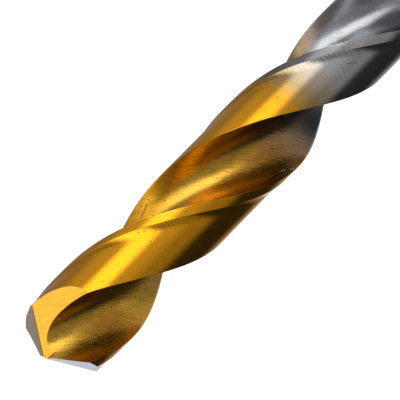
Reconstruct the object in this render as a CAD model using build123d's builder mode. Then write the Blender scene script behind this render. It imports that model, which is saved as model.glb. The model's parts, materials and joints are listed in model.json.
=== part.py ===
# Twist drill bit with two right-hand flutes and a four-facet split point.
# The drill stands on its shank: +Z runs along the axis from the shank to the point, and the
# origin is the centre of the shank's end face.  Seen from the point, the drill cuts
# counter-clockwise, so each cutting edge has its flute ahead of it and its land behind it.
# Sizes are in millimetres and degrees.

from build123d import *
from math import acos, atan2, cos, degrees, pi, radians, sin, sqrt, tan
import os

# ---------------------------------------------------------------- driving dimensions
drill_diameter = 10.0          # over the margins
overall_length = 133.0         # shank end to the centre of the point
flute_length = 87.0            # centre of the point to the far end of the flutes
helix_angle = 30.7             # of the flutes, at the drill's own diameter

web_thickness = 1.42           # core left between the two flute floors
flute_floor_radius = 2.58      # round bottom of the flute
floor_to_heel = 40.7           # deepest point of the floor round to the heel beside it
lip_hook = 14.0                # flute face at the cutting corner, off the radius
land_angle = 83.0              # cutting corner back to the heel, seen along the axis
margin_width = 1.15            # full-diameter strip behind the cutting corner
margin_height = 0.22           # step from the margin down to the relieved land
margin_step_run = 0.08         # length of land that the step takes up

runout_radius = 24.0           # arc in which a flute rises out of the body
full_size_run = 1.5            # plain length at the drill's size, below the flutes
shank_cone = 1.0               # length of the cone from the shank up to the drill's size
shank_undersize = 0.1          # the shank is ground this much under the drill's diameter
shank_chamfer = 0.8            # on the shank's end, at 45 degrees

point_angle = 133.0            # across the two lips
lip_lag = 4.9                  # a lip in plan, off the radius through its corner
lip_relief = 25.0              # primary facet, falling away square to the lip
ridge_angle = 45.3             # ridge between the two facets of a land, behind the lip
heel_relief = 52.0             # secondary facet, falling away square to the ridge
notch_angle = 32.0             # wall that splits the web, off the lip in plan
notch_offset = 0.16            # from the axis to the wall
notch_rake = 9.0               # lean of the wall, off the axis

# ---------------------------------------------------------------- sizes that follow
drill_radius = drill_diameter / 2
shank_radius = (drill_diameter - shank_undersize) / 2
web_radius = web_thickness / 2
land_radius = drill_radius - margin_height
helix_lead = pi * drill_diameter / tan(radians(helix_angle))
flute_end = overall_length - flute_length
cone_top = flute_end - full_size_run
shank_top = cone_top - shank_cone

lip_slope = 1 / tan(radians(point_angle / 2))
relief_slope = tan(radians(lip_relief))
corner_fall = lip_slope * cos(radians(lip_lag)) - relief_slope * sin(radians(lip_lag))
corner_height = overall_length - drill_radius * corner_fall

cutter_overlap = 0.1 * drill_radius      # cutters run past the surfaces that they cut
facet_cutter_size = 4 * drill_diameter
relief_overrun = 8             # degrees that the land's cutter runs on past the heel
seam_bearing = 0               # a trimming cylinder's seam stays clear of the land's cutter


def polar(radius, bearing):
    """Point of the cross-section at a radius and a bearing in degrees."""
    return Vector(radius * cos(radians(bearing)), radius * sin(radians(bearing)), 0)


def twist_at(height):
    """Turn of the cross-section at a height; at the lip's corner it is nought."""
    return 360 * (height - corner_height) / helix_lead


# ---------------------------------------------------------------- section of one flute
# The flute's face leaves the cutting corner, on +X, in the lip arc.  It runs on into the
# floor arc, and a straight flank, tangent to the floor, leads out to the heel of the other
# land and on past it, clear of the work.
cutting_corner = polar(drill_radius, 0)
heel_bearing = 180 - land_angle
heel = polar(land_radius, heel_bearing)
floor_bearing = heel_bearing - floor_to_heel
floor_centre = polar(web_radius + flute_floor_radius, floor_bearing)

# The lip arc has the radius that makes it tangent to the floor arc, which lies inside it.
lip_arc_side = polar(1, 90 + lip_hook)
from_floor = cutting_corner - floor_centre
lip_arc_radius = (flute_floor_radius**2 - from_floor.length**2) / (
    2 * (lip_arc_side.dot(from_floor) + flute_floor_radius)
)
lip_arc_centre = cutting_corner + lip_arc_side * lip_arc_radius
lip_arc_reach = degrees(cutter_overlap / lip_arc_radius)
lip_arc_start = lip_arc_centre + (cutting_corner - lip_arc_centre).rotate(Axis.Z, lip_arc_reach)
floor_arc_start = floor_centre + (floor_centre - lip_arc_centre).normalized() * flute_floor_radius

to_heel = heel - floor_centre
flank_bearing = degrees(atan2(to_heel.Y, to_heel.X) + acos(flute_floor_radius / to_heel.length))
floor_arc_end = floor_centre + polar(flute_floor_radius, flank_bearing)
floor_arc_side = (floor_arc_start + floor_arc_end) / 2 - floor_centre
floor_arc_middle = floor_centre + floor_arc_side.normalized() * flute_floor_radius
flank_end = heel + (heel - floor_arc_end).normalized() * 2 * cutter_overlap
mouth_middle = polar(drill_radius + cutter_overlap, heel_bearing / 2)

# ---------------------------------------------------------------- section of one land
# The land is relieved from the foot of the margin's step round to the heel.  The section
# reaches under the land's surface, which a cylinder then trims to its radius.
step_top = polar(drill_radius, 180 - degrees(margin_width / drill_radius))
step_foot_bearing = 180 - degrees((margin_width + margin_step_run) / drill_radius)
step_foot = polar(land_radius, step_foot_bearing)
step_overrun = (step_top - step_foot) * (cutter_overlap / margin_height)
relief_end_bearing = heel_bearing - relief_overrun
relief_middle_bearing = (step_foot_bearing + relief_end_bearing) / 2
relief_inside = land_radius - cutter_overlap
relief_outside = drill_radius + cutter_overlap

# ---------------------------------------------------------------- cutters of flute and land
# Both sections climb the axis and turn with the helix.  At the shank the cutters stop at a
# round body whose side curves in to just under the flute's floor.
runout_foot = web_radius - cutter_overlap / 4
outside_radius = drill_radius + 2 * cutter_overlap
runout_length = sqrt(runout_radius**2 - (runout_radius + runout_foot - drill_radius) ** 2)
runout_reach = sqrt(runout_radius**2 - (runout_radius + runout_foot - outside_radius) ** 2)
runout_top = flute_end + runout_length
cutter_bottom = runout_top - runout_reach
cutter_height = overall_length + cutter_overlap - cutter_bottom
cutter_plane = Plane.XY.offset(cutter_bottom)
section_plane = cutter_plane.rotated((0, 0, twist_at(cutter_bottom)))

with BuildPart() as runout_body:
    with BuildSketch(Plane.XZ):
        with BuildLine():
            runout_arc = TangentArc(
                (runout_foot, runout_top), (outside_radius, cutter_bottom), tangent=(0, -1)
            )
            Polyline(
                runout_arc @ 1,
                (outside_radius, cutter_bottom - cutter_overlap),
                (0, cutter_bottom - cutter_overlap),
                (0, runout_top),
                runout_arc @ 0,
            )
        make_face()
    revolve(axis=Axis.Z)

with BuildLine(cutter_plane) as climb:
    Line((0, 0, 0), (0, 0, cutter_height))
with BuildLine(cutter_plane) as twist:
    Helix(helix_lead, cutter_height, drill_radius)

with BuildPart() as flute_cutter:
    with BuildSketch(section_plane):
        with BuildLine():
            ThreePointArc(lip_arc_start, cutting_corner, floor_arc_start)
            ThreePointArc(floor_arc_start, floor_arc_middle, floor_arc_end)
            Line(floor_arc_end, flank_end)
            ThreePointArc(flank_end, mouth_middle, lip_arc_start)
        make_face()
    sweep(path=climb.line, binormal=twist.line.edge())
    add(runout_body.part, mode=Mode.SUBTRACT)

with BuildPart() as land_cutter:
    with BuildSketch(section_plane):
        with BuildLine():
            step = Line(step_foot - step_overrun, step_top + step_overrun)
            inside = ThreePointArc(
                step @ 0,
                polar(relief_inside, relief_middle_bearing),
                polar(relief_inside, relief_end_bearing),
            )
            outside = ThreePointArc(
                step @ 1,
                polar(relief_outside, relief_middle_bearing),
                polar(relief_outside, relief_end_bearing),
            )
            Line(inside @ 1, outside @ 1)
        make_face()
    sweep(path=climb.line, binormal=twist.line.edge())
    with Locations(Rotation(0, 0, seam_bearing)):
        Cylinder(land_radius, 2 * overall_length, mode=Mode.SUBTRACT)
    add(runout_body.part, mode=Mode.SUBTRACT)

# ---------------------------------------------------------------- facet cutters
# Each plane is given by its upward normal, first with the lip along +X and then turned by
# the lag of the lip.  A land has a primary facet behind its lip and, beyond the ridge, a
# secondary facet that falls away to the heel.
point_centre = Vector(0, 0, overall_length)


def lagged(direction):
    """Turn a direction from the lip's own frame into the drill's."""
    return direction.rotate(Axis.Z, -lip_lag)


primary_facet = Plane(origin=point_centre, z_dir=lagged(Vector(lip_slope, -relief_slope, 1)))

ridge_out = cos(radians(ridge_angle))
ridge_back = sin(radians(ridge_angle))
ridge = Vector(ridge_out, -ridge_back, -lip_slope * ridge_out - relief_slope * ridge_back)
heel_fall = Vector(-ridge_back, -ridge_out, -tan(radians(heel_relief)))
secondary_facet = Plane(origin=point_centre, z_dir=lagged(heel_fall.cross(ridge)))

# The wheel that grinds a secondary facet also splits the web.  Its edge leaves a wall at the
# other lip, which becomes the cutting face of that lip's inner end.
wall_side = polar(1, 90 + notch_angle)
wall_lean = Vector(0, 0, tan(radians(notch_rake)))
wall_origin = lagged(wall_side * -notch_offset).rotate(Axis.Z, 180) + point_centre
other_wall = Plane(
    origin=wall_origin, z_dir=lagged(wall_side + wall_lean).rotate(Axis.Z, 180)
)

with BuildPart() as primary_cutter:
    with BuildSketch(primary_facet):
        Rectangle(facet_cutter_size, facet_cutter_size)
    extrude(amount=facet_cutter_size)

with BuildPart() as secondary_cutter:
    with BuildSketch(secondary_facet):
        Rectangle(facet_cutter_size, facet_cutter_size)
    extrude(amount=facet_cutter_size)
    split(bisect_by=other_wall, keep=Keep.TOP)

# ---------------------------------------------------------------- drill
with BuildPart() as drill_bit:
    with BuildSketch(Plane.YZ):
        with BuildLine():
            Polyline(
                (0, 0),
                (shank_radius - shank_chamfer, 0),
                (shank_radius, shank_chamfer),
                (shank_radius, shank_top),
                (drill_radius, cone_top),
                (drill_radius, overall_length),
                (0, overall_length),
                close=True,
            )
        make_face()
    revolve(axis=Axis.Z)
    for cutter in (flute_cutter, land_cutter, primary_cutter, secondary_cutter):
        with PolarLocations(0, 2):
            add(cutter.part, mode=Mode.SUBTRACT)
drill_bit.part.label = "drill_bit"

os.makedirs("parts", exist_ok=True)
export_step(drill_bit.part, "parts/drill_bit.step")
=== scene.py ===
"""Twist drill bit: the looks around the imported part.

The drill is one mesh.  Its section is laid out from the sizes of a flute and a land, climbs the
axis and turns with the helix, is joined to the turned shank, and is cut by the facets of the
point.  Each kind of surface has a finish of its own, drawn by rules in the drill's own
coordinates.  Sizes are in millimetres and degrees until they are handed to Blender in metres.
"""

import json
import logging
import math
from dataclasses import dataclass, field
from enum import Enum
from functools import reduce

import bpy
from mathutils import Matrix, Vector

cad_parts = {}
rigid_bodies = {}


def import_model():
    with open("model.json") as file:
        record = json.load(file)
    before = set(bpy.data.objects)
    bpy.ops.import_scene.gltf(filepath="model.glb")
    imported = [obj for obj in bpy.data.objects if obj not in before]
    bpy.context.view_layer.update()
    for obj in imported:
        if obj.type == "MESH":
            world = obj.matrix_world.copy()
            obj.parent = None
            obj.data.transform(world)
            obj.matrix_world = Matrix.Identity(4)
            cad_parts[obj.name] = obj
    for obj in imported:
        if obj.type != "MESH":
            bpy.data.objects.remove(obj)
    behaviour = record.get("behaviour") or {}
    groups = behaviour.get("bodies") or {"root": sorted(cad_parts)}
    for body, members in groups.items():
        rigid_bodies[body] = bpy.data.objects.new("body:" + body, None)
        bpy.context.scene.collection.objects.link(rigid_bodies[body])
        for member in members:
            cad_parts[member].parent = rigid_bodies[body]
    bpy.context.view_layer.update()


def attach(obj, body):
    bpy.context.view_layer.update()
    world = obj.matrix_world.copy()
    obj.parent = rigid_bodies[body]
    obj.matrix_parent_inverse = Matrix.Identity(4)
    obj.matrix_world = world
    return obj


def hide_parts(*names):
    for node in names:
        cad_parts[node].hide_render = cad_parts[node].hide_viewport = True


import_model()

LOG = logging.getLogger("drill_bit")
MM = 0.001
BODY = "root"
NODE = "drill_bit"

Socket = bpy.types.NodeSocket
Outputs = bpy.types.NodeOutputs
Colour = tuple[float, float, float]
Point = tuple[float, float, float]

WHITE: Colour = (1.0, 1.0, 1.0)
STEEL: Colour = (0.56, 0.56, 0.57)
PALE_NICK: Colour = (0.95, 0.74, 0.42)
DARK_NICK: Colour = (0.05, 0.035, 0.02)
MARGIN_TEMPER: Colour = (0.17, 0.17, 0.18)
TEMPER_BLUE: Colour = (0.03, 0.038, 0.052)


# ---------------- small helpers
def polar(radius: float, bearing: float) -> Vector:
    """Give the point at a radius and a bearing in degrees, in the plane of the section."""
    angle = math.radians(bearing)
    return Vector((radius * math.cos(angle), radius * math.sin(angle)))


def turned(vector: Vector, degrees: float) -> Vector:
    """Turn a 3-D vector about the drill's axis by some degrees."""
    return Matrix.Rotation(math.radians(degrees), 3, "Z") @ vector


def arc_points(
    centre: Vector, start: Vector, end: Vector, turn: int, step: float
) -> list[Vector]:
    """Divide an arc evenly.

    Args:
        centre: Centre of the arc.
        start: First point, which is given back.
        end: Last point, which is left out.
        turn: 1 for counter-clockwise, -1 for clockwise.
        step: Longest chord, roughly.

    Returns:
        The points from start up to the one before end.
    """
    radius = (start - centre).length
    first = math.atan2(start.y - centre.y, start.x - centre.x)
    last = math.atan2(end.y - centre.y, end.x - centre.x)
    sweep = (last - first) * turn % (2 * math.pi)
    count = max(1, math.ceil(sweep * radius / step))
    return [
        centre + radius * Vector((math.cos(a), math.sin(a)))
        for a in (first + turn * sweep * i / count for i in range(count))
    ]


def line_points(start: Vector, end: Vector, step: float) -> list[Vector]:
    """Divide a straight run evenly, leaving its last point out."""
    count = max(1, math.ceil((end - start).length / step))
    return [start.lerp(end, i / count) for i in range(count)]


def chain_object(name: str, points: list[Vector], closed: bool) -> bpy.types.Object:
    """Make an object of loose edges through the points.

    Args:
        name: Name of the object.
        points: Points in metres.
        closed: Whether the last point joins the first.

    Returns:
        The new object, linked to the scene.
    """
    mesh = bpy.data.meshes.new(name)
    edges = [(i, i + 1) for i in range(len(points) - 1)]
    if closed:
        edges.append((len(points) - 1, 0))
    mesh.from_pydata([p.to_3d() for p in points], edges, [])
    obj = bpy.data.objects.new(name, mesh)
    bpy.context.scene.collection.objects.link(obj)
    return obj


# ---------------- sizes
@dataclass
class SectionSizes:
    """Section of the fluted body, in millimetres and degrees."""

    drill_diameter: float = 10.0
    helix_angle: float = 30.7
    web_thickness: float = 1.42
    floor_radius: float = 2.58
    floor_to_heel: float = 40.7
    lip_hook: float = 14.0
    land_angle: float = 83.0
    margin_width: float = 1.15
    margin_height: float = 0.22
    relief_run: float = 1.1
    relief_power: float = 2.5
    relief_steps: int = 9
    heel_round: float = 0.05
    heel_flatness: float = 0.4
    margin_round: float = 0.03
    chord: float = 0.24

    @property
    def drill_radius(self) -> float:
        """Give the radius over the margins."""
        return self.drill_diameter / 2

    @property
    def land_radius(self) -> float:
        """Give the radius of the relieved lands."""
        return self.drill_radius - self.margin_height

    @property
    def lead(self) -> float:
        """Give the height in which the flutes turn once."""
        return math.pi * self.drill_diameter / math.tan(math.radians(self.helix_angle))

    @property
    def floor_bearing(self) -> float:
        """Give the bearing of a flute's deepest line, from the cutting corner's."""
        return 180 - self.land_angle - self.floor_to_heel

    @property
    def floor_depth(self) -> float:
        """Give the distance from the axis to the centre of a flute's round floor."""
        return self.web_thickness / 2 + self.floor_radius


@dataclass
class BlankSizes:
    """Lengths of the drill and its shank, in millimetres."""

    overall_length: float = 133.0
    flute_length: float = 87.0
    runout_radius: float = 24.0
    runout_depth: float = 0.125
    shank_diameter: float = 9.9
    shank_length: float = 43.5
    shank_cone: float = 1.0
    shank_chamfer: float = 0.8


@dataclass
class PointSizes:
    """Ground facets of the point, in millimetres and degrees."""

    point_angle: float = 133.0
    lip_lag: float = 4.9
    lip_relief: float = 25.0
    ridge_angle: float = 45.3
    heel_relief: float = 52.0
    notch_angle: float = 32.0
    notch_offset: float = 0.16
    notch_rake: float = 9.0

    @property
    def lip_slope(self) -> float:
        """Give the fall of a lip for each millimetre outwards."""
        return 1 / math.tan(math.radians(self.point_angle / 2))

    @property
    def relief_slope(self) -> float:
        """Give the fall of the primary facet for each millimetre behind its lip."""
        return math.tan(math.radians(self.lip_relief))

    def corner_fall(self, radius: float) -> float:
        """Give how far the cutting corner lies below the centre of the point."""
        lag = math.radians(self.lip_lag)
        return radius * (self.lip_slope * math.cos(lag) - self.relief_slope * math.sin(lag))

    def lagged(self, direction: Vector) -> Vector:
        """Turn a direction from the lip's own frame into the drill's."""
        return turned(direction, -self.lip_lag)

    def primary_normal(self) -> Vector:
        """Give the upward normal of the first land's primary facet."""
        return self.lagged(Vector((self.lip_slope, -self.relief_slope, 1))).normalized()

    def secondary_normal(self) -> Vector:
        """Find the secondary facet's plane.

        Returns:
            The upward normal of the first land's secondary facet.
        """
        out = math.cos(math.radians(self.ridge_angle))
        back = math.sin(math.radians(self.ridge_angle))
        ridge = Vector((out, -back, -self.lip_slope * out - self.relief_slope * back))
        fall = Vector((-back, -out, -math.tan(math.radians(self.heel_relief))))
        return self.lagged(fall.cross(ridge)).normalized()

    @property
    def wall_side(self) -> Vector:
        """Give the level direction square to the wall that splits the web."""
        return polar(1, 90 + self.notch_angle).to_3d()

    def wall_normal(self) -> Vector:
        """Give that wall's normal, pointing to the side ground away."""
        lean = Vector((0, 0, math.tan(math.radians(self.notch_rake))))
        return turned(self.lagged(self.wall_side + lean), 180).normalized()

    def wall_offset(self) -> Vector:
        """Give a point of that wall, from the centre of the point."""
        return turned(self.lagged(self.wall_side * -self.notch_offset), 180)


# ---------------- node tools
class Tree:
    """A node tree that is written as short calls."""

    def __init__(self, tree: bpy.types.NodeTree) -> None:
        """Take the tree to write in."""
        self.tree = tree

    def add(self, kind: str, inputs: dict | None = None, **settings: object) -> bpy.types.Node:
        """Add a node.

        Args:
            kind: Type name of the node.
            inputs: Values or sockets by input name or number.
            settings: Properties of the node.

        Returns:
            The new node.
        """
        node = self.tree.nodes.new(kind)
        for name, value in settings.items():
            setattr(node, name, value)
        self.fill(node, inputs or {})
        return node

    def first(self, kind: str, inputs: dict | None = None, **settings: object) -> Socket:
        """Add a node and give its first output."""
        return self.add(kind, inputs, **settings).outputs[0]

    def fill(self, node: bpy.types.Node, inputs: dict) -> None:
        """Fill a node's inputs.

        Args:
            node: The node.
            inputs: A value, or a socket to link, by input name or number.
        """
        for key, value in inputs.items():
            if isinstance(value, Socket):
                self.tree.links.new(value, node.inputs[key])
            else:
                node.inputs[key].default_value = value

    def math(self, operation: str, a: object, b: object = 0.0, c: object = 0.0) -> Socket:
        """Add a Math node and give its value."""
        return self.first("ShaderNodeMath", {0: a, 1: b, 2: c}, operation=operation)

    def product(self, *values: object) -> Socket:
        """Multiply two or more values."""
        return reduce(lambda one, other: self.math("MULTIPLY", one, other), values)

    def sloped(self, value: object, slope: object, offset: object) -> Socket:
        """Give a value times a slope plus an offset."""
        return self.math("MULTIPLY_ADD", value, slope, offset)

    def vector(self, operation: str, a: object, b: object) -> Socket:
        """Add a Vector Math node and give its vector."""
        return self.first("ShaderNodeVectorMath", {0: a, 1: b}, operation=operation)

    def scaled(self, vector: Socket, scale: object) -> Socket:
        """Give a vector times a value."""
        return self.first("ShaderNodeVectorMath", {0: vector, "Scale": scale}, operation="SCALE")

    def dot(self, a: object, b: object) -> Socket:
        """Give the dot product of two vectors."""
        inputs = {0: a, 1: b}
        return self.add("ShaderNodeVectorMath", inputs, operation="DOT_PRODUCT").outputs["Value"]

    def length(self, vector: Socket) -> Socket:
        """Give a vector's length."""
        return self.add("ShaderNodeVectorMath", {0: vector}, operation="LENGTH").outputs["Value"]

    def parts(self, vector: Socket) -> Outputs:
        """Split a vector into its three parts."""
        return self.add("ShaderNodeSeparateXYZ", {0: vector}).outputs

    def combined(self, x: object = 0.0, y: object = 0.0, z: object = 0.0) -> Socket:
        """Make a vector of three parts."""
        return self.first("ShaderNodeCombineXYZ", {0: x, 1: y, 2: z})

    def twisted(self, vector: Socket, angle: Socket) -> Socket:
        """Turn a vector about the drill's axis by an angle in radians."""
        inputs = {"Vector": vector, "Angle": angle}
        return self.first("ShaderNodeVectorRotate", inputs, rotation_type="Z_AXIS")

    def boolean(self, operation: str, first: Socket, second: Socket) -> Socket:
        """Join two closed meshes, keep what they share, or cut the second out of the first.

        Args:
            operation: Name of the operation.
            first: One mesh.
            second: The other mesh.

        Returns:
            The mesh that results.
        """
        node = self.add("GeometryNodeMeshBoolean", operation=operation, solver="MANIFOLD")
        self.fill(node, {0 if operation == "DIFFERENCE" else 1: first})
        self.fill(node, {1: second})
        return node.outputs[0]

    def clamped(self, value: object, low: float, high: float, ends: str = "SMOOTHSTEP") -> Socket:
        """Map a value from a range to 0..1, and hold it past the ends."""
        inputs = {"Value": value, "From Min": low, "From Max": high}
        return self.first("ShaderNodeMapRange", inputs, interpolation_type=ends)

    def fading(self, value: object, low: float, high: float) -> Socket:
        """Give 1 below a range and 0 above it, with soft ends."""
        return self.math("SUBTRACT", 1.0, self.clamped(value, low, high))

    def band(self, value: object, middle: float, core: float, reach: float) -> Socket:
        """Give 1 within a core about a middle value, and 0 beyond a reach from it."""
        away = self.math("ABSOLUTE", self.math("SUBTRACT", value, middle))
        return self.fading(away, core, reach)

    def noise(self, vector: Socket, scale: float, detail: float) -> Socket:
        """Add a noise texture and give its value."""
        inputs = {"Vector": vector, "Scale": scale, "Detail": detail}
        return self.add("ShaderNodeTexNoise", inputs).outputs["Fac"]

    def streaks(self, across: Socket, along: Socket, pitch: float, stretch: float) -> Socket:
        """Give the place in a noise of fine lines, by the runs across and along them."""
        return self.combined(self.product(across, 1 / pitch), self.product(along, stretch))

    def around(self, middle: object, noise: Socket, spread: object) -> Socket:
        """Give a value that a noise moves about a middle."""
        return self.sloped(self.math("SUBTRACT", noise, 0.5), spread, middle)

    def blend(self, share: object, one: object, other: object) -> Socket:
        """Blend one colour into another.

        Args:
            share: Share of the other colour.
            one: A socket or a colour.
            other: A socket or a colour.

        Returns:
            The blended colour.
        """
        node = self.add("ShaderNodeMix", {"Factor": share}, data_type="RGBA")
        ends = [number for number, item in enumerate(node.inputs) if item.type == "RGBA"]
        for end, colour in zip(ends, (one, other)):
            self.fill(node, {end: colour if isinstance(colour, Socket) else (*colour, 1)})
        return next(item for item in node.outputs if item.type == "RGBA")

    def ramp(self, value: Socket, stops: tuple[tuple[float, Colour], ...]) -> Socket:
        """Give the colour for a value.

        Args:
            value: The value to go by.
            stops: Values in rising order, each with its colour.

        Returns:
            The colour, which runs straight from stop to stop and is held past the ends.
        """
        low, high = stops[0][0], stops[-1][0]
        node = self.add("ShaderNodeValToRGB", {"Fac": self.clamped(value, low, high, "LINEAR")})
        elements = node.color_ramp.elements
        while len(elements) < len(stops):
            elements.new(0.5)
        for element, (stop, colour) in zip(elements, stops):
            element.position = (stop - low) / (high - low)
            element.color = (*colour, 1)
        return node.outputs["Color"]

    def seeing_rays(self) -> tuple[Socket, Socket]:
        """Tell the rays apart.

        Returns:
            1 for rays that look at a thing or see it mirrored, and 1 for mirrored rays alone.
        """
        rays = self.add("ShaderNodeLightPath").outputs
        glossy = rays["Is Glossy Ray"]
        direct = self.math("MAXIMUM", rays["Is Camera Ray"], rays["Is Transmission Ray"])
        return self.math("MAXIMUM", direct, glossy), glossy


# ---------------- the drill
class Surface(Enum):
    """The kinds of surface on the drill, each dressed in its own finish."""

    FLUTE = "flute"
    LAND = "land"
    SHANK = "shank"
    PRIMARY = "primary_facet"
    SECONDARY = "secondary_facet"


Finishes = dict[Surface, bpy.types.Material]
ShapeInputs = tuple[tuple[str, str, object], ...]


class ShapeTree(Tree):
    """The Geometry Nodes tree that shapes the drill from its section."""

    def __init__(self, inputs: ShapeInputs) -> None:
        """Make the group and its sockets.

        Args:
            inputs: Name, kind of socket and value of each input.
        """
        super().__init__(bpy.data.node_groups.new("drill_shape", "GeometryNodeTree"))
        self.tree.is_modifier = True
        sockets = self.tree.interface
        for name, kind, _ in (("Section", "Geometry", None), *inputs):
            sockets.new_socket(name, in_out="INPUT", socket_type="NodeSocket" + kind)
        sockets.new_socket("Drill", in_out="OUTPUT", socket_type="NodeSocketGeometry")
        self.size = self.add("NodeGroupInput").outputs


@dataclass
class DrillBody:
    """The one-piece drill: a twisted section, a turned shank and a ground point.

    Sizes are in millimetres and degrees.  The section's foot is drawn in by its taper, a share
    for each metre, so that it ends inside the shank.
    """

    section: SectionSizes = field(default_factory=SectionSizes)
    blank: BlankSizes = field(default_factory=BlankSizes)
    point: PointSizes = field(default_factory=PointSizes)
    rise: float = 0.4
    foot: float = 0.6
    foot_taper: float = 30.0
    turned_sides: int = 160
    block_edge: float = 30.0
    land_slack: float = 0.02
    facet_match: float = 0.9995
    smooth_below: float = 18.0

    @property
    def flute_end(self) -> float:
        """Give the height at which the flutes end."""
        return self.blank.overall_length - self.blank.flute_length

    @property
    def corner_height(self) -> float:
        """Give the height of the cutting corners."""
        return self.blank.overall_length - self.point.corner_fall(self.section.drill_radius)

    def flute_points(self) -> list[Vector]:
        """Lay out one flute: a lip arc, a floor arc tangent to it, and a straight flank.

        Returns:
            Points in millimetres, from a cutting corner round to the start of the rounded heel.
        """
        s = self.section
        corner = polar(s.drill_radius, 0)
        heel = polar(s.land_radius, 180 - s.land_angle)
        floor_centre = polar(s.floor_depth, s.floor_bearing)
        side = polar(1, 90 + s.lip_hook)
        gap = corner - floor_centre
        reach = 2 * (side.dot(gap) + s.floor_radius)
        lip_centre = corner + side * ((s.floor_radius**2 - gap.length_squared) / reach)
        floor_start = floor_centre + (floor_centre - lip_centre).normalized() * s.floor_radius
        to_heel = heel - floor_centre
        flank = math.atan2(to_heel.y, to_heel.x) + math.acos(s.floor_radius / to_heel.length)
        floor_end = floor_centre + polar(s.floor_radius, math.degrees(flank))
        heel_in = heel - (heel - floor_end).normalized() * s.heel_round
        points = arc_points(lip_centre, corner, floor_start, -1, s.chord)
        points += arc_points(floor_centre, floor_start, floor_end, -1, s.chord)
        points += line_points(floor_end, heel_in, s.chord)
        points.append(heel_in)
        return points

    def land_points(self, heel_in: Vector) -> list[Vector]:
        """Lay out one land: a rounded heel, the land, its run up to the margin, and the margin.

        Args:
            heel_in: Start of the rounded heel.

        Returns:
            Points in millimetres, from the heel round to the one before the cutting corner.
        """
        s = self.section
        axis = Vector((0, 0))
        heel_bearing = 180 - s.land_angle
        heel = polar(s.land_radius, heel_bearing)
        heel_out = polar(s.land_radius, heel_bearing + math.degrees(s.heel_round / s.land_radius))
        step = 180 - math.degrees(s.margin_width / s.drill_radius)
        relief = 180 - math.degrees((s.margin_width + s.relief_run) / s.drill_radius)
        margin = polar(s.drill_radius, step + math.degrees(s.margin_round / s.drill_radius))
        points = [heel.lerp((heel_in + heel_out) / 2, s.heel_flatness)]
        points += arc_points(axis, heel_out, polar(s.land_radius, relief), 1, s.chord)
        for i in range(s.relief_steps):
            share = i / s.relief_steps
            rise = (s.margin_height - s.margin_round / 2) * share**s.relief_power
            points.append(polar(s.land_radius + rise, relief + (step - relief) * share))
        points.append(polar(s.drill_radius - s.margin_round / 2, step))
        points += arc_points(axis, margin, polar(-s.drill_radius, 0), 1, s.chord)
        return points

    def section_object(self) -> bpy.types.Object:
        """Make the closed outline of the whole section.

        Returns:
            A closed chain in the XY plane: one flute and land, and their half-turned copy.
        """
        half = self.flute_points()
        half += self.land_points(half[-1])
        return chain_object(NODE + "_body", [p * MM for p in half + [-p for p in half]], True)

    def outline_object(self) -> bpy.types.Object:
        """Make the outline that is turned into the shank and the run-out.

        Returns:
            An open chain in the XZ plane, from the shank's end up to the tip of the run-out.
        """
        s, b = self.section, self.blank
        shank = b.shank_diameter / 2
        foot = s.web_thickness / 2 - b.runout_depth
        length = math.sqrt(b.runout_radius**2 - (b.runout_radius + foot - s.drill_radius) ** 2)
        tip = Vector((foot, self.flute_end + length))
        centre = Vector((b.runout_radius + foot, tip.y))
        points = [
            Vector((shank - b.shank_chamfer, 0)),
            Vector((shank, b.shank_chamfer)),
            Vector((shank, b.shank_length)),
            Vector((s.drill_radius, b.shank_length + b.shank_cone)),
        ]
        points += arc_points(centre, Vector((s.drill_radius, self.flute_end)), tip, -1, self.rise)
        points.append(tip)
        return chain_object("turned_outline", [Vector((p.x, 0, p.y)) * MM for p in points], False)

    def shape_inputs(self, outline: bpy.types.Object) -> ShapeInputs:
        """List what the shape's tree is given.

        Args:
            outline: The outline that is turned.

        Returns:
            Name, kind of socket and value of each input, in metres.
        """
        s, b, p = self.section, self.blank, self.point
        centre = Vector((0, 0, b.overall_length))
        return (
            ("Turned Outline", "Object", outline),
            ("Section Foot", "Float", (self.flute_end - self.foot) * MM),
            ("Flute End", "Float", self.flute_end * MM),
            ("Section Top", "Float", (b.overall_length + self.foot) * MM),
            ("Rise", "Float", self.rise * MM),
            ("Lead", "Float", s.lead * MM),
            ("Corner Height", "Float", self.corner_height * MM),
            ("Turned Sides", "Int", self.turned_sides),
            ("Land Floor", "Float", (s.land_radius - self.land_slack) * MM),
            ("Point Centre", "Vector", centre * MM),
            ("Primary Normal", "Vector", p.primary_normal()),
            ("Secondary Normal", "Vector", p.secondary_normal()),
            ("Wall Normal", "Vector", p.wall_normal()),
            ("Wall Point", "Vector", (centre + p.wall_offset()) * MM),
        )

    def build(self, finishes: Finishes) -> bpy.types.Object:
        """Build the drill as one mesh.

        Args:
            finishes: The material of each kind of surface.

        Returns:
            The finished object, with nothing live on it.
        """
        body = self.section_object()
        outline = self.outline_object()
        inputs = self.shape_inputs(outline)
        modifier = body.modifiers.new("shape", "NODES")
        modifier.node_group = self.shape_tree(inputs, finishes)
        values = {name: value for name, _, value in inputs}
        for item in modifier.node_group.interface.items_tree:
            if item.in_out == "INPUT" and item.name in values:
                modifier[item.identifier] = values[item.name]
        graph = bpy.context.evaluated_depsgraph_get()
        mesh = bpy.data.meshes.new_from_object(body.evaluated_get(graph))
        body.modifiers.remove(modifier)
        body.data = mesh
        mesh.name = body.name
        bpy.data.objects.remove(outline)
        return body

    def shape_tree(self, inputs: ShapeInputs, finishes: Finishes) -> bpy.types.NodeTree:
        """Write the tree that shapes the drill and dresses it.

        Args:
            inputs: Name, kind of socket and value of each input.
            finishes: The material of each kind of surface.

        Returns:
            The tree.
        """
        tree = ShapeTree(inputs)
        drill = tree.boolean("UNION", self.fluted_length(tree), self.turned_length(tree))
        drill = self.dressed(tree, self.ground(tree, drill), finishes)
        tree.add("NodeGroupOutput", {0: tree.first("GeometryNodeRealizeInstances", {0: drill})})
        return tree.tree

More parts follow.
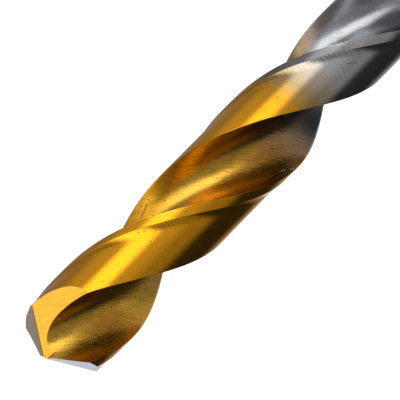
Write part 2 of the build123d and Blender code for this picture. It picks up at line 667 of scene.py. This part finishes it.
    def fluted_length(self, tree: ShapeTree) -> Socket:
        """Let the section climb straight, draw its foot in, and twist it.

        Args:
            tree: Tree to write in.

        Returns:
            The fluted length as a closed mesh.
        """
        ends = [tree.combined(z=tree.size["Section " + end]) for end in ("Foot", "Top")]
        spine = tree.first("GeometryNodeCurvePrimitiveLine", {"Start": ends[0], "End": ends[1]})
        inputs = {"Curve": spine, "Length": tree.size["Rise"]}
        spine = tree.first("GeometryNodeResampleCurve", inputs, mode="LENGTH")
        ring = tree.first("GeometryNodeMeshToCurve", {0: tree.size["Section"]})
        inputs = {"Curve": spine, "Profile Curve": ring, "Fill Caps": True}
        prism = tree.first("GeometryNodeCurveToMesh", inputs)
        where = tree.first("GeometryNodeInputPosition")
        height = tree.parts(where)[2]
        below = tree.math("MAXIMUM", tree.math("SUBTRACT", tree.size["Flute End"], height), 0.0)
        shrink = tree.math("SUBTRACT", 1.0, tree.product(below, self.foot_taper))
        drawn = tree.vector("MULTIPLY", where, tree.combined(shrink, shrink, 1.0))
        climb = tree.math("SUBTRACT", height, tree.size["Corner Height"])
        turn = tree.product(tree.math("DIVIDE", climb, tree.size["Lead"]), 2 * math.pi)
        inputs = {"Geometry": prism, "Position": tree.twisted(drawn, turn)}
        return tree.first("GeometryNodeSetPosition", inputs)

    def turned_length(self, tree: ShapeTree) -> Socket:
        """Turn the shank and the run-out: each point of the outline gives a ring.

        Args:
            tree: Tree to write in.

        Returns:
            The turned length as a closed mesh.
        """
        inputs = {"Object": tree.size["Turned Outline"]}
        outline = tree.add("GeometryNodeObjectInfo", inputs, transform_space="ORIGINAL")
        line = tree.first("GeometryNodeMeshToCurve", {0: outline.outputs["Geometry"]})
        parts = tree.parts(tree.first("GeometryNodeInputPosition"))
        reach = tree.add("GeometryNodeCaptureAttribute", {"Geometry": line})
        reach.capture_items.new("FLOAT", "Reach")
        tree.fill(reach, {1: parts[0]})
        inputs = {"Geometry": reach.outputs[0], "Position": tree.combined(z=parts[2])}
        line = tree.first("GeometryNodeSetPosition", inputs)
        line = tree.first("GeometryNodeSetCurveRadius", {"Curve": line, "Radius": reach.outputs[1]})
        inputs = {"Resolution": tree.size["Turned Sides"], "Radius": 1.0}
        circle = tree.first("GeometryNodeCurvePrimitiveCircle", inputs)
        scale = tree.first("GeometryNodeInputRadius")
        inputs = {"Curve": line, "Profile Curve": circle, "Scale": scale, "Fill Caps": True}
        return tree.first("GeometryNodeCurveToMesh", inputs)

    def ground(self, tree: ShapeTree, mesh: Socket) -> Socket:
        """Cut the facets by blocks whose faces lie on them, and by their half-turned copies.

        Args:
            tree: Tree to write in.
            mesh: The drill before its point is ground.

        Returns:
            The ground drill.
        """
        edge = self.block_edge * MM
        cube = tree.first("GeometryNodeMeshCube", {"Size": Vector((edge, edge, edge))})
        blocks = []
        points = {"Primary": "Point Centre", "Secondary": "Point Centre", "Wall": "Wall Point"}
        for facet, where in points.items():
            normal = tree.size[facet + " Normal"]
            turn = tree.first("FunctionNodeAlignRotationToVector", {"Vector": normal}, axis="Z")
            lift = tree.vector("ADD", tree.size[where], tree.scaled(normal, edge / 2))
            inputs = {"Geometry": cube, "Translation": lift, "Rotation": turn}
            blocks.append(tree.first("GeometryNodeTransform", inputs))
        primary, secondary, wall = blocks
        for cutter in (primary, tree.boolean("INTERSECT", secondary, wall)):
            for half in (0.0, math.pi):
                inputs = {"Geometry": cutter, "Rotation": Vector((0, 0, half))}
                copy = tree.first("GeometryNodeTransform", inputs)
                mesh = tree.boolean("DIFFERENCE", mesh, copy)
        return mesh

    def dressed(self, tree: ShapeTree, mesh: Socket, finishes: Finishes) -> Socket:
        """Shade every edge smooth but the sharp ones, and give each kind of surface its finish.

        Args:
            tree: Tree to write in.
            mesh: The ground drill.
            finishes: The material of each kind of surface.

        Returns:
            The dressed drill.
        """
        angle = tree.add("GeometryNodeInputMeshEdgeAngle").outputs["Unsigned Angle"]
        smooth = tree.math("LESS_THAN", angle, math.radians(self.smooth_below))
        inputs = {"Geometry": mesh, "Shade Smooth": smooth}
        mesh = tree.first("GeometryNodeSetShadeSmooth", inputs, domain="EDGE")
        normal = tree.first("GeometryNodeInputNormal")
        x, y, height = tree.parts(tree.first("GeometryNodeInputPosition"))
        reach = tree.length(tree.combined(x, y))

        def faces(direction: Socket) -> Socket:
            """Select the faces that look along a direction or its half-turned copy."""
            copy = tree.dot(normal, tree.vector("MULTIPLY", direction, Vector((-1, -1, 1))))
            match = tree.math("MAXIMUM", tree.dot(normal, direction), copy)
            return tree.math("GREATER_THAN", match, self.facet_match)

        choices = {
            Surface.FLUTE: True,
            Surface.LAND: tree.math("GREATER_THAN", reach, tree.size["Land Floor"]),
            Surface.SHANK: tree.math("LESS_THAN", height, tree.size["Flute End"]),
            Surface.PRIMARY: faces(tree.size["Primary Normal"]),
            Surface.SECONDARY: faces(tree.size["Secondary Normal"]),
        }
        for surface, chosen in choices.items():
            inputs = {"Geometry": mesh, "Selection": chosen, "Material": finishes[surface]}
            mesh = tree.first("GeometryNodeSetMaterial", inputs)
        return mesh


# ---------------- finishes
@dataclass(frozen=True)
class Coat:
    """Colour of the coat by height in millimetres, from bare steel up to the full coat."""

    stops: tuple[tuple[float, Colour], ...]
    wander: float = 0.6
    wander_scale: float = 0.9

    def colour(self, at: "SurfaceMap", height: Socket) -> Socket:
        """Give the coat's colour for the height that it goes by."""
        drift = at.noise(at.place, self.wander_scale, 3.0)
        return at.ramp(at.around(height, drift, 2 * self.wander), self.stops)


@dataclass(frozen=True)
class Mark:
    """A nick or scratch along a straight run, in millimetres."""

    start: Point
    end: Point
    width: float
    share: float
    pale: bool = False
    core: float = 0.35

    def mask(self, at: "SurfaceMap") -> Socket:
        """Tell the mark from the rest.

        Args:
            at: The material's tree.

        Returns:
            1 on the mark and 0 away from it.
        """
        span = Vector(self.end) - Vector(self.start)
        from_start = at.vector("SUBTRACT", at.place, Vector(self.start))
        along = at.dot(from_start, span)
        share = at.clamped(along, 0.0, span.length_squared, "LINEAR")
        nearest = at.vector("MULTIPLY", at.combined(share, share, share), span)
        gap = at.length(at.vector("SUBTRACT", from_start, nearest))
        return at.fading(gap, self.core * self.width, self.width)


class SurfaceMap(Tree):
    """A material's tree with the place on the drill, as sockets in millimetres and radians."""

    TICK_LEAN: float = 0.5

    def __init__(
        self, tree: bpy.types.NodeTree, section: SectionSizes, corner_height: float
    ) -> None:
        """Write the nodes.

        Args:
            tree: Tree to write in.
            section: Sizes of the section.
            corner_height: Height at which the section is unturned.
        """
        super().__init__(tree)
        self.place = self.scaled(self.add("ShaderNodeTexCoord").outputs["Object"], 1 / MM)
        self.height = self.parts(self.place)[2]
        climb = self.math("SUBTRACT", self.height, corner_height)
        turn = self.product(climb, -2 * math.pi / section.lead)
        self.straight = self.twisted(self.place, turn)
        self.behind_step, self.across_ticks = self.land_map(section)
        self.behind_edge = self.math("ADD", self.behind_step, section.margin_width)
        self.round_floor = self.flute_map(section)

    def land_map(self, section: SectionSizes) -> tuple[Socket, Socket]:
        """Lay the land out flat.

        Args:
            section: Sizes of the section.

        Returns:
            The run behind the margin's step, and the run square to the relief grinding's ticks,
            which lean part of the way from level to square to the helix.
        """
        x, y, _ = self.parts(self.straight)
        bearing = self.math("ADD", self.math("ARCTAN2", y, x), 2 * math.pi)
        bearing = self.math("MODULO", bearing, math.pi)
        step = math.pi - section.margin_width / section.drill_radius
        behind = self.product(self.math("SUBTRACT", step, bearing), section.drill_radius)
        slope = math.radians(section.helix_angle)
        climb = (1 - self.TICK_LEAN) + self.TICK_LEAN / math.cos(slope)
        around = self.TICK_LEAN * section.land_radius * math.sin(slope)
        return behind, self.sloped(self.height, climb, self.product(bearing, around))

    def flute_map(self, section: SectionSizes) -> Socket:
        """Lay the flute's floor out flat.

        Args:
            section: Sizes of the section.

        Returns:
            The run round the floor, from its deepest line out to the lip, below 0 at the heel.
        """
        outwards = polar(1, section.floor_bearing).to_3d()
        onwards = polar(1, section.floor_bearing - 90).to_3d()
        side = self.math("SIGN", self.dot(self.straight, outwards))
        first = self.scaled(self.straight, side)
        depth = self.dot(first, outwards)
        inwards = self.math("SUBTRACT", section.floor_depth, depth)
        angle = self.math("ARCTAN2", self.dot(first, onwards), inwards)
        return self.product(angle, section.floor_radius)


@dataclass(frozen=True)
class Finish:
    """Ground tool steel, coated over the cutting end, with the marks of its grinding.

    Heights, depths and radii are in millimetres, and a scale goes with a noise's place in them.
    """

    surface: Surface
    coat: Coat
    roughness: float = 0.17
    roughness_spread: float = 0.06
    patch_scale: float = 0.6
    grain: float = 0.10
    grain_scale: float = 6.5
    grain_depth: float = 0.0012
    turning_stretch: Point = (0.3, 0.3, 9.0)
    turning_tone: float = 0.25
    turning_depth: float = 0.002
    pit_share: float = 0.34
    pit_scale: float = 1.7
    pit_radius: float = 0.085
    pit_edge: float = 1.7
    pit_tone: float = 0.8
    pit_depth: float = 0.012
    pits_from: float = 86.0
    pits_full: float = 94.0
    mark_depth: float = 0.02
    haze: float = 0.0
    haze_roughness: float = 0.5
    marks: tuple[Mark, ...] = ()

    def grinding(self, at: SurfaceMap) -> tuple[Socket, Socket]:
        """Draw the rings of plain turning: their tone, about 1, and height in millimetres."""
        lines = at.noise(at.vector("MULTIPLY", at.place, Vector(self.turning_stretch)), 1.0, 3.0)
        return at.around(1.0, lines, self.turning_tone), at.product(lines, self.turning_depth)

    def coat_height(self, at: SurfaceMap) -> Socket:
        """Give the height that the coat goes by."""
        return at.height

    def tinted(self, at: SurfaceMap, colour: Socket) -> Socket:
        """Change the coat's colour where this surface has a tint of its own."""
        return colour

    def material(self, section: SectionSizes, corner_height: float) -> bpy.types.Material:
        """Make the material.

        Args:
            section: Sizes of the section.
            corner_height: Height at which the section is unturned.

        Returns:
            The material.
        """
        made = bpy.data.materials.new("steel_" + self.surface.value)
        made.use_nodes = True
        at = SurfaceMap(made.node_tree, section, corner_height)
        colour = self.tinted(at, self.coat.colour(at, self.coat_height(at)))
        tone, height = self.grinding(at)
        grain = at.noise(at.place, self.grain_scale, 3.0)
        tone = at.product(tone, at.around(1.0, grain, 2 * self.grain))
        height = at.sloped(grain, self.grain_depth, height)
        pit = self.pits(at)
        tone = at.product(tone, at.sloped(pit, -self.pit_tone, 1.0))
        height = at.sloped(pit, -self.pit_depth, height)
        colour = at.scaled(colour, tone)
        for mark in self.marks:
            mask = mark.mask(at)
            nick = PALE_NICK if mark.pale else DARK_NICK
            colour = at.blend(at.product(mask, mark.share), colour, nick)
            height = at.sloped(mask, -self.mark_depth, height)
        patches = at.noise(at.straight, self.patch_scale, 3.0)
        bump = {"Strength": 1.0, "Distance": MM, "Height": height}
        look = {
            "Metallic": 1.0,
            "Coat Weight": self.haze,
            "Coat Roughness": self.haze_roughness,
            "Base Color": colour,
            "Roughness": at.around(self.roughness, patches, 2 * self.roughness_spread),
            "Normal": at.first("ShaderNodeBump", bump),
        }
        at.fill(made.node_tree.nodes["Principled BSDF"], look)
        return made

    def pits(self, at: SurfaceMap) -> Socket:
        """Strew small pits over the surface, fewer and then none where the coat ends.

        Args:
            at: The material's tree.

        Returns:
            1 in a pit and 0 outside it.
        """
        inputs = {"Vector": at.place, "Scale": self.pit_scale}
        cells = at.add("ShaderNodeTexVoronoi", inputs).outputs
        inside = at.fading(cells["Distance"], self.pit_radius, self.pit_edge * self.pit_radius)
        drawn = at.first("ShaderNodeSeparateColor", {0: cells["Color"]})
        kept = at.math("LESS_THAN", drawn, self.pit_share)
        kept = at.product(kept, at.clamped(at.height, self.pits_from, self.pits_full))
        return at.product(inside, kept)


@dataclass(frozen=True)
class FluteFinish(Finish):
    """The flutes: fine lines of the wheel that cut them, slanting across the floor.

    Places on the floor are runs in millimetres from its deepest line, towards the lip.
    """

    line_slant: float = 0.92
    line_pitch: float = 0.17
    line_stretch: float = 0.3
    line_tone: float = 0.8
    line_depth: float = 0.022
    lines_from: float = 88.0
    lines_full: float = 96.0
    lines_least: float = 0.4
    cloud_scale: float = 1.3
    cloud_tone: float = 0.5
    lip_from: float = 0.2
    lip_full: float = 1.4
    lip_calm: float = 0.6
    peel_scale: float = 4.2
    peel_depth: float = 0.013
    peel_least: float = 0.3
    heel_lag: float = 4.6
    heel_lag_from: float = 2.0
    heel_lag_run: float = 1.7
    # painted shade under the heel: the coat on the heel's flank is made darker and browner
    heel_shade_tint: Colour = (0.58, 0.50, 0.22)
    heel_shade_full: float = -3.2
    heel_shade_from: float = -1.2
    tint_from: float = 93.0
    tint_full: float = 101.0
    temper_height: float = 91.0
    temper_core: float = 0.25
    temper_reach: float = 4.2
    temper_share: float = 0.9
    temper_full: float = 2.5
    temper_least: float = 0.5

    def grinding(self, at: SurfaceMap) -> tuple[Socket, Socket]:
        """Draw the wheel's lines, and an orange-peel grain on the lip's side.

        Args:
            at: The material's tree.

        Returns:
            The tone, about 1, and the height in millimetres.
        """
        s, z = at.round_floor, at.height
        across = at.sloped(z, self.line_slant, s)
        along = at.sloped(s, -self.line_slant, z)
        lines = at.streaks(across, along, self.line_pitch, self.line_stretch)
        lines = at.noise(lines, 1.0, 2.0)
        coated = at.clamped(z, self.lines_from, self.lines_full)
        strength = at.sloped(coated, 1 - self.lines_least, self.lines_least)
        clouds = at.noise(at.straight, self.cloud_scale, 3.0)
        tone = at.around(1.0, lines, at.product(strength, self.line_tone))
        tone = at.product(tone, at.around(1.0, clouds, self.cloud_tone))
        lip_side = at.clamped(s, self.lip_from, self.lip_full)
        calm = at.product(at.sloped(lip_side, -self.lip_calm, 1.0), strength)
        peel = at.noise(at.place, self.peel_scale, 2.0)
        peeled = at.math("ADD", lip_side, self.peel_least)
        peel = at.product(peel, self.peel_depth, peeled)
        return tone, at.math("ADD", at.product(lines, self.line_depth, calm), peel)

    def coat_height(self, at: SurfaceMap) -> Socket:
        """Give the height that the coat goes by, higher beside the heel."""
        past = at.math("MAXIMUM", at.sloped(at.round_floor, -1.0, -self.heel_lag_from), 0.0)
        return at.sloped(at.math("MINIMUM", past, self.heel_lag_run), self.heel_lag, at.height)

    def tinted(self, at: SurfaceMap, colour: Socket) -> Socket:
        """Paint shade on the heel's flank, under the heel, and darken the floor where the coat
        ends.

        Args:
            at: The material's tree.
            colour: The coat's colour.

        Returns:
            The colour with the painted shade on the heel's flank and the temper band.
        """
        s = at.round_floor
        # painted shade: the coat is darkened on the heel's flank, under the heel, where the flute
        # is coated
        flank = at.fading(s, self.heel_shade_full, self.heel_shade_from)
        coated = at.clamped(self.coat_height(at), self.tint_from, self.tint_full)
        tint = at.blend(at.product(flank, coated), WHITE, self.heel_shade_tint)
        colour = at.vector("MULTIPLY", colour, tint)
        core = self.temper_core * self.temper_reach
        band = at.band(at.height, self.temper_height, core, self.temper_reach)
        lip_side = at.clamped(s, 0.0, self.temper_full)
        lip_side = at.sloped(lip_side, 1 - self.temper_least, self.temper_least)
        return at.blend(at.product(band, lip_side, self.temper_share), colour, TEMPER_BLUE)


@dataclass(frozen=True)
class LandFinish(Finish):
    """The lands: ticks of the relief grinding beside the margin, and the margin's own grain."""

    tick_pitch: float = 0.24
    tick_stretch: float = 0.35
    tick_tone: float = 0.95
    tick_depth: float = 0.016
    tick_core: float = 0.3
    tick_reach: float = 1.2
    tick_least: float = 0.08
    margin_grain: float = 0.5
    margin_scale: float = 5.0
    margin_depth: float = 0.006
    edge_wear: float = 0.10
    wear_core: float = 0.4
    wear_scale: float = 3.0
    wear_spots: tuple[float, float] = (0.52, 0.6)
    wear_share: float = 0.5
    temper_height: float = 91.0
    temper_core: float = 0.3
    temper_reach: float = 6.5
    temper_share: float = 0.85

    def grinding(self, at: SurfaceMap) -> tuple[Socket, Socket]:
        """Draw the ticks behind the step and the grain on the margin.

        Args:
            at: The material's tree.

        Returns:
            The tone, about 1, and the height in millimetres.
        """
        behind = at.behind_step
        ticks = at.streaks(at.across_ticks, behind, self.tick_pitch, self.tick_stretch)
        ticks = at.noise(ticks, 1.0, 1.0)
        fading = at.fading(behind, self.tick_core, self.tick_reach)
        fading = at.sloped(fading, 1 - self.tick_least, self.tick_least)
        on_land = at.math("GREATER_THAN", behind, 0.0)
        on_margin = at.math("SUBTRACT", 1.0, on_land)
        share = at.product(fading, on_land)
        grain = at.noise(at.place, self.margin_scale, 3.0)
        tone = at.around(1.0, ticks, at.product(share, self.tick_tone))
        margin_tone = at.around(1.0, grain, at.product(on_margin, self.margin_grain))
        height = at.product(ticks, share, self.tick_depth)
        height = at.sloped(at.product(grain, on_margin), self.margin_depth, height)
        return at.product(tone, margin_tone), height

    def tinted(self, at: SurfaceMap, colour: Socket) -> Socket:
        """Darken the margin where the coat ends, and rub its leading edge pale in places.

        Args:
            at: The material's tree.
            colour: The coat's colour.

        Returns:
            The colour with the temper band and the worn edge.
        """
        core = self.temper_core * self.temper_reach
        band = at.band(at.height, self.temper_height, core, self.temper_reach)
        on_margin = at.math("LESS_THAN", at.behind_step, 0.0)
        band = at.product(band, on_margin, self.temper_share)
        colour = at.blend(band, colour, MARGIN_TEMPER)
        near = at.fading(at.behind_edge, self.wear_core * self.edge_wear, self.edge_wear)
        spots = at.clamped(at.noise(at.place, self.wear_scale, 2.0), *self.wear_spots)
        return at.blend(at.product(near, spots, self.wear_share), colour, PALE_NICK)


@dataclass(frozen=True)
class FacetFinish(Finish):
    """A ground facet of the point, with straight lines along one direction."""

    across: Point = (-0.695, 0.663, -0.468)
    along: Point = (0.731, 0.245, -0.739)
    line_pitch: float = 0.13
    line_stretch: float = 0.4
    line_tone: float = 0.8
    line_depth: float = 0.003

    def side(self, at: SurfaceMap) -> Socket:
        """Give -1 on the first land's facet, and 1 on its half-turned copy."""
        normal = at.add("ShaderNodeTexCoord").outputs["Normal"]
        return at.math("SIGN", at.parts(normal)[1])

    def grinding(self, at: SurfaceMap) -> tuple[Socket, Socket]:
        """Draw the wheel's straight lines.

        Args:
            at: The material's tree.

        Returns:
            The tone, about 1, and the height in millimetres.
        """
        side = self.side(at)
        half = at.vector("MULTIPLY", at.place, at.combined(side, side, 1.0))
        across = at.dot(half, Vector(self.across))
        along = at.dot(half, Vector(self.along))
        lines = at.noise(at.streaks(across, along, self.line_pitch, self.line_stretch), 1.0, 3.0)
        return at.around(1.0, lines, self.line_tone), at.product(lines, self.line_depth)


@dataclass(frozen=True)
class PrimaryFinish(FacetFinish):
    """A primary facet: bare steel, browned along the ridge where the coat's edge is."""

    brown: Colour = (0.62, 0.40, 0.14)
    brown_share: float = 0.8
    brown_reach: float = 0.9
    off_ridge: Point = (0.768, 0.640, 0.0)

    def tinted(self, at: SurfaceMap, colour: Socket) -> Socket:
        """Brown the steel near the ridge.

        Args:
            at: The material's tree.
            colour: The coat's colour.

        Returns:
            The browned colour.
        """
        gap = at.dot(at.place, Vector(self.off_ridge))
        gap = at.product(gap, self.side(at), -1.0)
        near = at.fading(gap, 0.0, self.brown_reach)
        return at.blend(at.product(near, self.brown_share), colour, self.brown)


FULL_COAT: Colour = (0.84, 0.46, 0.05)
LAND_COAT = Coat(
    stops=(
        (90.2, STEEL),
        (90.5, (0.58, 0.51, 0.43)),
        (92.0, (0.52, 0.44, 0.33)),
        (93.5, (0.48, 0.34, 0.15)),
        (95.5, (0.70, 0.34, 0.03)),
        (97.5, (0.90, 0.39, 0.012)),
        (101.0, (0.97, 0.42, 0.012)),
    ),
)
FLUTE_COAT = Coat(
    stops=(
        (87.5, (0.42, 0.43, 0.45)),
        (90.5, (0.22, 0.21, 0.21)),
        (94.0, (0.22, 0.165, 0.12)),
        (97.5, (0.46, 0.275, 0.12)),
        (101.0, (0.70, 0.39, 0.065)),
        (105.0, (0.76, 0.425, 0.055)),
    ),
    wander=0.8,
)
FACET_COAT = Coat(stops=((120.0, FULL_COAT), (134.0, FULL_COAT)))
BARE_STEEL = Coat(stops=((0.0, STEEL), (134.0, STEEL)))

FLUTE_MARKS = (
    Mark((0.9, 0.9, 96.0), (0.7, 0.3, 95.9), 0.22, 0.9),
    Mark((4.0, 0.2, 105.3), (4.2, -0.9, 103.0), 0.10, 0.5),
    Mark((4.2, -0.9, 103.0), (3.6, -2.1, 100.5), 0.15, 0.7),
    Mark((3.5, -2.2, 100.1), (3.6, -2.4, 99.9), 0.16, 0.8, True),
    Mark((3.7, -2.8, 99.2), (3.7, -3.0, 98.8), 0.12, 0.6, True),
    Mark((-4.0, 2.1, 112.7), (-4.0, 1.2, 114.0), 0.10, 0.12, True),
    Mark((-4.0, 2.1, 112.6), (-3.5, 1.8, 112.3), 0.08, 0.12, True),
    Mark((-3.5, 1.6, 112.8), (-3.5, 1.0, 113.9), 0.08, 0.2),
    Mark((-0.4, 1.3, 78.8), (-0.2, 1.0, 78.9), 0.12, 0.5),
)
LAND_MARKS = (
    Mark((4.1, 2.5, 115.9), (4.5, 1.6, 115.7), 0.05, 0.6),
    Mark((3.6, 3.1, 88.4), (4.1, 2.4, 88.5), 0.07, 0.4),
    Mark((3.9, 2.8, 88.8), (4.5, 1.7, 89.3), 0.06, 0.3),
    Mark((4.0, 2.6, 87.7), (4.3, 2.0, 86.7), 0.07, 0.3),
    Mark((1.4, 4.6, 117.7), (1.5, 4.6, 117.6), 0.10, 0.6),
    Mark((2.9, 3.8, 117.5), (3.0, 3.8, 117.5), 0.10, 0.6),
    Mark((3.8, 2.9, 117.4), (3.8, 2.9, 117.3), 0.10, 0.6),
)

FINISHES = (
    FluteFinish(Surface.FLUTE, FLUTE_COAT, roughness=0.22, pit_share=0.8, marks=FLUTE_MARKS),
    LandFinish(Surface.LAND, LAND_COAT, haze=0.18, marks=LAND_MARKS),
    Finish(Surface.SHANK, BARE_STEEL),
    PrimaryFinish(Surface.PRIMARY, BARE_STEEL, roughness=0.24),
    FacetFinish(Surface.SECONDARY, FACET_COAT, roughness=0.24, pit_share=0.1),
)


# ---------------- studio
@dataclass(frozen=True)
class Panel:
    """A panel of the studio that the metal reflects, by bearing and elevation in degrees."""

    bearing: float
    half_width: float
    low: float
    high: float
    level: float
    soft: float = 8.0
    soft_ends: float = 8.0
    slant: float = 0.0
    tint: Colour = (1.0, 1.0, 1.0)

    def inside(self, tree: Tree, bearing: Socket, rise: Socket) -> Socket:
        """Tell the panel from what is round it.

        Args:
            tree: Tree to write in.
            bearing: Bearing of a direction, in degrees.
            rise: Its elevation, in degrees.

        Returns:
            1 inside the panel and 0 outside it, with soft edges.
        """
        above = tree.math("SUBTRACT", rise, (self.low + self.high) / 2)
        offset = tree.math("SUBTRACT", bearing, self.bearing)
        offset = tree.math("SUBTRACT", offset, tree.product(above, self.slant))
        offset = tree.math("ABSOLUTE", tree.math("WRAP", offset, 180.0, -180.0))
        width, soft, ends = self.half_width, self.soft, self.soft_ends
        across = tree.fading(offset, width - soft, width + soft)
        foot = tree.clamped(rise, self.low - ends, self.low + ends)
        return tree.product(across, foot, tree.fading(rise, self.high - ends, self.high + ends))


@dataclass
class Studio:
    """Floor, lights, reflected panels and camera, in metres and degrees."""

    aim: Point = (0.0, 0.0, 0.1087)
    distance: float = 0.3127
    azimuth: float = 45.57
    elevation: float = 21.02
    right: Point = (0.68537, -0.31978, -0.65421)
    lens: float = 267.8
    sensor: float = 36.0
    clip_start: float = 0.01
    floor_size: float = 3.0
    floor_grey: Colour = (0.9, 0.9, 0.9)
    floor_roughness: float = 0.9
    floor_lift: float = 0.42
    lamp_spot: Point = (0.12, 0.45, 0.75)
    lamp_size: float = 0.5
    lamp_power: float = 4.0
    soft_light: float = 0.5
    walls: tuple[tuple[float, float], ...] = (
        *((-90, 0.45), (-42, 0.46), (-25, 0.28), (-8, 0.22)),
        *((12, 0.33), (35, 0.55), (70, 0.75)),
    )
    panels: tuple[Panel, ...] = (
        Panel(85, 58, -29, -15, 0.52, soft=16, soft_ends=5),
        Panel(78, 26, -64, -32, 0.60, soft=10, soft_ends=5),
        Panel(75, 50, 6, 55, 0.60, soft=16, soft_ends=6),
        Panel(35, 32, -62, -29, 0.34, soft=10, soft_ends=5, tint=(1.0, 0.80, 0.80)),
        Panel(-62, 34, -64, -28, 0.24, soft=10, soft_ends=7),
        Panel(-49, 38, -36, 14, 0.024, soft=12, soft_ends=7, slant=0.2),
        Panel(68, 19, -27, 45, 1.85, soft=9, soft_ends=6, slant=-0.45),
        Panel(94, 22, 34, 56, 1.30, soft=8, soft_ends=6),
        Panel(-121, 11, -34, 22, 0.85, soft=5, soft_ends=6, tint=(0.92, 0.97, 1.10)),
        Panel(-159, 15, 4, 26, 0.42, soft=5, soft_ends=5, tint=(1.0, 0.74, 0.52)),
    )

    def camera(self) -> None:
        """Set the camera up."""
        a, e = math.radians(self.azimuth), math.radians(self.elevation)
        back = Vector((math.cos(e) * math.cos(a), math.cos(e) * math.sin(a), math.sin(e)))
        right = Vector(self.right)
        right = (right - back * right.dot(back)).normalized()
        data = bpy.data.cameras.new("camera")
        data.lens = self.lens
        data.sensor_width = self.sensor
        data.clip_start = self.clip_start
        camera = bpy.data.objects.new("camera", data)
        turn = Matrix((right, back.cross(right), back)).transposed().to_4x4()
        place = Vector(self.aim) + back * self.distance
        camera.matrix_world = Matrix.Translation(place) @ turn
        bpy.context.scene.collection.objects.link(camera)
        bpy.context.scene.camera = camera

    def world(self) -> None:
        """Set the world: white to look at, plain soft light, and panels for the metal."""
        world = bpy.data.worlds.new("studio")
        bpy.context.scene.world = world
        world.use_nodes = True
        world.cycles.sampling_method = "NONE"
        tree = Tree(world.node_tree)
        seen, mirrored = tree.seeing_rays()
        look = {
            "Color": tree.blend(mirrored, WHITE, self.reflected(tree)),
            "Strength": tree.sloped(seen, 1.0 - self.soft_light, self.soft_light),
        }
        tree.fill(world.node_tree.nodes["Background"], look)

    def reflected(self, tree: Tree) -> Socket:
        """Paint what the metal sees: the walls and the panels.

        Args:
            tree: Tree to write in.

        Returns:
            The colour in each direction.
        """
        x, y, z = tree.parts(tree.add("ShaderNodeTexCoord").outputs["Generated"])
        bearing = tree.math("DEGREES", tree.math("ARCTAN2", y, x))
        rise = tree.math("DEGREES", tree.math("ARCSINE", z))
        colour = tree.ramp(rise, tuple((at, (level,) * 3) for at, level in self.walls))
        for panel in self.panels:
            glow = tuple(part * panel.level for part in panel.tint)
            colour = tree.blend(panel.inside(tree, bearing, rise), colour, glow)
        return colour

    def floor(self) -> None:
        """Lay the pale floor, whose lit part shows white."""
        half = self.floor_size / 2
        mesh = bpy.data.meshes.new("floor")
        corners = [(-half, -half, 0), (half, -half, 0), (half, half, 0), (-half, half, 0)]
        mesh.from_pydata(corners, [], [(0, 1, 2, 3)])
        floor = bpy.data.objects.new("floor", mesh)
        bpy.context.scene.collection.objects.link(floor)
        floor.visible_glossy = False
        made = bpy.data.materials.new("floor_white")
        made.use_nodes = True
        tree = Tree(made.node_tree)
        seen, _ = tree.seeing_rays()
        look = {
            "Base Color": (*self.floor_grey, 1),
            "Roughness": self.floor_roughness,
            "Specular IOR Level": 0.0,
            "Emission Color": (*WHITE, 1),
            "Emission Strength": tree.product(seen, self.floor_lift),
        }
        tree.fill(made.node_tree.nodes["Principled BSDF"], look)
        mesh.materials.append(made)

    def lamp(self) -> None:
        """Hang one large soft lamp over the drill, for the floor's shadow."""
        data = bpy.data.lights.new("soft_lamp", "AREA")
        data.shape = "DISK"
        data.size = self.lamp_size
        data.energy = self.lamp_power
        lamp = bpy.data.objects.new("soft_lamp", data)
        lamp.visible_glossy = False
        spot = Vector(self.lamp_spot)
        turn = (spot - Vector(self.aim)).to_track_quat("Z", "Y").to_matrix().to_4x4()
        lamp.matrix_world = Matrix.Translation(spot) @ turn
        bpy.context.scene.collection.objects.link(lamp)


def main() -> None:
    """Build the drill and the studio around it."""
    logging.basicConfig(level=logging.INFO, format="%(name)s: %(message)s")
    bpy.context.scene.view_settings.view_transform = "Standard"
    studio = Studio()
    studio.camera()
    studio.world()
    studio.floor()
    studio.lamp()
    drill = DrillBody()
    materials = {
        finish.surface: finish.material(drill.section, drill.corner_height) for finish in FINISHES
    }
    body = drill.build(materials)
    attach(body, BODY)
    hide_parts(NODE)
    LOG.info("drill body: %d vertices, %d faces", len(body.data.vertices), len(body.data.polygons))


if __name__ == "__main__":
    main()
